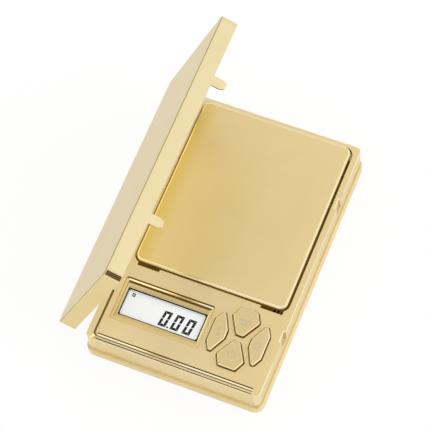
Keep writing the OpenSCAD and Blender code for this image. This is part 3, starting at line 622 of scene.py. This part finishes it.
def window_line():
    """Outlines of the line's four sides and of the fillings inside its four corners."""
    x0, x1 = window_low.x / MM + LINE_IN, window_high.x / MM - LINE_IN
    y0, y1 = window_low.y / MM + LINE_IN, window_high.y / MM - LINE_IN
    outlines = [bar(x0, y0 + LINE_W, x0 + LINE_W, y1 - LINE_W),
                bar(x1 - LINE_W, y0 + LINE_W, x1, y1 - LINE_W),
                bar(x0, y0, x1, y0 + LINE_W), bar(x0, y1 - LINE_W, x1, y1)]
    angles = [math.radians(90 * i / LINE_STEPS) for i in range(LINE_STEPS + 1)]
    for cx, sx in ((x0 + LINE_W, 1), (x1 - LINE_W, -1)):
        for cy, sy in ((y0 + LINE_W, 1), (y1 - LINE_W, -1)):
            curve = [(cx + sx * LINE_R * (1 - math.cos(a)), cy + sy * LINE_R * (1 - math.sin(a)))
                     for a in angles]
            outlines.append([(cx, cy)] + (curve if sx * sy < 0 else curve[::-1]))
    return outlines


printed("window_line", window_line(), (0, 0), window_high.z, "base", ink)


# Stage
def pale_stage(name, shade, glow):
    """Matt surface that the camera, gloss and glass see partly as even white."""
    material, tree, shader = new_material(name)
    shader.inputs["Base Color"].default_value = (shade, shade, shade, 1)
    shader.inputs["Roughness"].default_value = 0.95
    shader.inputs["Specular IOR Level"].default_value = 0.0
    path = tree.nodes.new("ShaderNodeLightPath")
    seen = path.outputs["Is Camera Ray"]
    for ray in ("Is Glossy Ray", "Is Transmission Ray"):
        joined = tree.nodes.new("ShaderNodeMath")
        joined.operation = "MAXIMUM"
        tree.links.new(seen, joined.inputs[0])
        tree.links.new(path.outputs[ray], joined.inputs[1])
        seen = joined.outputs[0]
    part = tree.nodes.new("ShaderNodeMath")
    part.operation = "MULTIPLY"
    part.inputs[1].default_value = glow
    tree.links.new(seen, part.inputs[0])
    light = tree.nodes.new("ShaderNodeEmission")
    light.inputs["Strength"].default_value = 1.0
    mix = tree.nodes.new("ShaderNodeMixShader")
    tree.links.new(part.outputs[0], mix.inputs["Fac"])
    tree.links.new(shader.outputs["BSDF"], mix.inputs[1])
    tree.links.new(light.outputs["Emission"], mix.inputs[2])
    tree.links.new(mix.outputs["Shader"], tree.nodes["Material Output"].inputs["Surface"])
    return material


FLOOR_HALF = 3.0
floor_mesh = bpy.data.meshes.new("floor")
floor_mesh.from_pydata([(x * FLOOR_HALF, y * FLOOR_HALF, 0)
                        for x, y in ((-1, -1), (1, -1), (1, 1), (-1, 1))], [], [(0, 1, 2, 3)])
floor = bpy.data.objects.new("floor", floor_mesh)
bpy.context.scene.collection.objects.link(floor)
floor.data.materials.append(pale_stage("floor", 1.0, 0.85))

# White surroundings with a dark strip low in front, which edges rounded towards the front mirror
# as a dark line
WHITE = (1, 1, 1)
STRIP = (0.02, 0.01, 0)
world = bpy.data.worlds.new("studio")
bpy.context.scene.world = world
world.use_nodes = True
sky = world.node_tree
facing = axes(sky, "Generated")
by_height = ramp(sky, facing["Z"], [(0.02, WHITE), (0.08, STRIP), (0.52, STRIP), (0.6, WHITE)])
in_front = share(sky, facing["Y"], -0.7, -0.8)
background = sky.nodes["Background"]
sky.links.new(mixed(sky, in_front, WHITE, by_height), background.inputs["Color"])
background.inputs["Strength"].default_value = 1.0


def soft_lamp(name, place, target, size, power):
    lamp = bpy.data.lights.new(name, "AREA")
    lamp.shape = "DISK"
    lamp.size = size
    lamp.energy = power
    light = bpy.data.objects.new(name, lamp)
    light.location = place
    light.rotation_euler = (Vector(target) - Vector(place)).to_track_quat("-Z", "Y").to_euler()
    bpy.context.scene.collection.objects.link(light)


soft_lamp("side", (0.9, 0.2, 0.5), (0, 0, 0.03), 1.2, 2.4)
soft_lamp("front", (0.1, -0.95, 0.25), (0, 0, 0.02), 0.8, 1.5)

# Camera, from the directions of the photographed object's corners
eye = Vector((0.1603, -0.3252, 0.7862))
turn = Vector((2.655, 0.499, -0.173))
camera_data = bpy.data.cameras.new("camera")
camera_data.sensor_width = 36
camera_data.lens = 172.4
camera_data.clip_start = 0.05
camera_data.clip_end = 20
camera = bpy.data.objects.new("camera", camera_data)
bpy.context.scene.collection.objects.link(camera)
seen_from = Quaternion(turn.normalized(), turn.length).to_matrix().transposed()
camera.matrix_world = (Matrix.Translation(eye)
                       @ (seen_from @ Matrix.Diagonal((1, -1, -1))).to_4x4())
bpy.context.scene.camera = camera
bpy.context.scene.view_settings.view_transform = "Standard"
